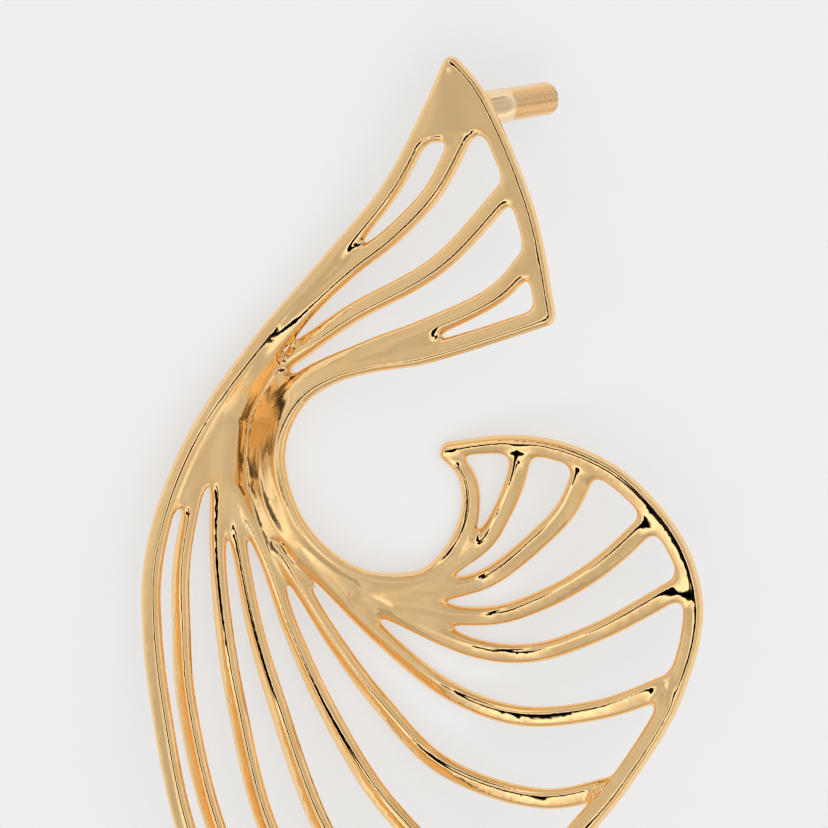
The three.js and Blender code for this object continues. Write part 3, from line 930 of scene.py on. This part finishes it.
def plain_grid(name, corners):
    """A stage surface over a grid of points."""
    rows, columns = corners.shape[:2]
    index = np.arange(rows * columns).reshape(rows, columns)
    quads = np.stack([index[:-1, :-1], index[:-1, 1:], index[1:, 1:], index[1:, :-1]], -1)
    piece = new_object(name, new_mesh(name, corners.reshape(-1, 3), quads.reshape(-1, 4)))
    return piece


span = np.linspace(-6, 6, 25)
floor_points = np.stack(np.meshgrid(span, span), -1)
floor_points = np.concatenate([floor_points, np.zeros(floor_points.shape[:2] + (1,))], -1)
floor = plain_grid("floor", floor_points)
paint, nodes = material("pale_table")
grain = nodes.add("ShaderNodeTexNoise", Vector=nodes.add("ShaderNodeTexCoord").outputs["Object"],
                  Scale=900.0, Detail=3.0)
tone = nodes.add("ShaderNodeMix", {"data_type": "RGBA"}, Factor=grain.outputs["Fac"])
tone.inputs["A"].default_value = (TABLE_DARKEST, TABLE_DARKEST, TABLE_DARKEST, 1)
tone.inputs["B"].default_value = (TABLE_PALEST, TABLE_PALEST, TABLE_PALEST, 1)
surface = nodes.add("ShaderNodeBsdfPrincipled", Roughness=0.9, Base_Color=tone.outputs["Result"],
                    Emission_Color=(1.0, 1.0, 1.0, 1), Emission_Strength=TABLE_GLOW)
surface.inputs["Specular IOR Level"].default_value = 0.1
nodes.add("ShaderNodeOutputMaterial", Surface=surface.outputs["BSDF"])
floor.data.materials.append(paint)

# A wide soft tent arches over the table. A small dark opening is left in it for the camera,
# with another above it, a long one below it to the left and a short one below it to the right.
# The cloth is brightest along the openings' edges.
TENT_RADIUS = 1.6
TENT_HALF_LENGTH = 2.4
TENT_HALF_ANGLE = 88.0
CLOTH_LIGHT = 0.61
EDGE_LIGHT = 1.7
EDGE_FADE = 0.26
EDGE_SOFTNESS = 0.03
SIDE_LIGHT = 0.45     # more light from the tent's sides, low over the table
SIDE_START = 0.42
FOLD_LIGHT = 0.07     # slow folds in the cloth
LAP_REACH = 0.12      # how far apart two openings still run together
# from right, from up, to right, to up, half width: sines of the angles from the camera's way
OPENINGS = [
    (-0.03, -0.02, 0.00, 0.02, 0.12),
    (-0.08, 0.15, -0.26, 0.40, 0.17),
    (-0.12, -0.22, -0.35, -0.43, 0.14),
    (-0.35, -0.43, -0.58, -0.38, 0.12),
    (0.12, -0.34, 0.07, -0.50, 0.09),
]


def glow_of_tent(points):
    """How brightly each point of the tent shines. The earring stands at the middle of the tent."""
    ways = unit(points)
    right, up = ways @ np.array(across), ways @ np.array(upward)
    here = np.stack([right, up], -1)
    gap = np.full(right.shape, 9.0)
    for right_a, up_a, right_b, up_b, half in OPENINGS:
        start, run = np.array([right_a, up_a]), np.array([right_b - right_a, up_b - up_a])
        share = np.clip(((here - start) @ run) / (run @ run), 0, 1)
        away = np.linalg.norm(here - start - share[..., None] * run, axis=-1) - half
        lap = np.maximum(LAP_REACH - np.abs(gap - away), 0) / LAP_REACH
        gap = np.minimum(gap, away) - lap * lap * LAP_REACH / 4
    edge = np.clip(gap / EDGE_SOFTNESS, 0, 1)
    fade = np.clip(1 - gap / EDGE_FADE, 0, 1)
    facing = ways @ np.array(towards_camera)
    side = np.clip((SIDE_START - facing) / SIDE_START, 0, 1)
    folds = (np.sin(6.0 * right + 1.0) * np.sin(5.0 * up + 0.5)
             + 0.5 * np.sin(11.0 * right - 7.0 * up))
    cloth = CLOTH_LIGHT + SIDE_LIGHT * side * side + FOLD_LIGHT * folds
    return np.where(facing > 0, edge * (cloth + (EDGE_LIGHT - CLOTH_LIGHT) * fade * fade), cloth)


towards_camera = Vector(turn @ np.array([0.0, -1.0, 0.0]))
across, upward = Vector(turn @ np.array([1.0, 0, 0])), Vector(turn @ np.array([0, 0, 1.0]))
angles = np.radians(np.linspace(-TENT_HALF_ANGLE, TENT_HALF_ANGLE, 265))
lengths = np.linspace(-TENT_HALF_LENGTH, TENT_HALF_LENGTH, 241)
angle, length = np.meshgrid(angles, lengths)
tent_points = np.stack([TENT_RADIUS * np.sin(angle), length, TENT_RADIUS * np.cos(angle)], -1)
tent = plain_grid("soft_tent", tent_points)
tent.visible_camera = False
tent.visible_shadow = False
tent.data.attributes.new("glow", "FLOAT", "POINT").data.foreach_set(
    "value", glow_of_tent(tent_points).ravel().astype(np.float32))
cloth, nodes = material("soft_tent_light")
glow = nodes.add("ShaderNodeAttribute", {"attribute_name": "glow"})
shine = nodes.add("ShaderNodeEmission", Strength=glow.outputs["Fac"])
nodes.add("ShaderNodeOutputMaterial", Surface=shine.outputs["Emission"])
tent.data.materials.append(cloth)

top_light = bpy.data.lights.new("table_light", "AREA")
top_light.shape = "DISK"
top_light.size = 3.0
top_light.energy = 24.0
lamp = bpy.data.objects.new("table_light", top_light)
lamp.location = (0, 0, 1.5)
lamp.visible_glossy = False
bpy.context.scene.collection.objects.link(lamp)

world = bpy.data.worlds.new("pale_room")
world.use_nodes = True
world.node_tree.nodes.clear()
nodes = Nodes(world.node_tree)
path = nodes.add("ShaderNodeLightPath")
level = nodes.add("ShaderNodeMix", {"data_type": "FLOAT"}, Factor=path.outputs["Is Camera Ray"])
level.inputs["A"].default_value = ROOM_LIGHT
level.inputs["B"].default_value = ROOM_BACKDROP
air = nodes.add("ShaderNodeBackground", Strength=level.outputs["Result"])
nodes.add("ShaderNodeOutputWorld", Surface=air.outputs["Background"])
bpy.context.scene.world = world

camera = bpy.data.cameras.new("camera")
camera.sensor_width = SENSOR_WIDTH
camera.lens = SENSOR_WIDTH * CAMERA_AWAY / VIEW_WIDTH
camera.clip_start, camera.clip_end = 0.01, 20.0
eye = bpy.data.objects.new("camera", camera)
pose = Matrix((across, upward, towards_camera)).transposed().to_4x4()
pose.translation = Vector(lay((CAMERA_AIM[0], -CAMERA_AWAY, CAMERA_AIM[1])))
eye.matrix_world = pose
bpy.context.scene.collection.objects.link(eye)
bpy.context.scene.camera = eye
bpy.context.scene.view_settings.view_transform = "Standard"
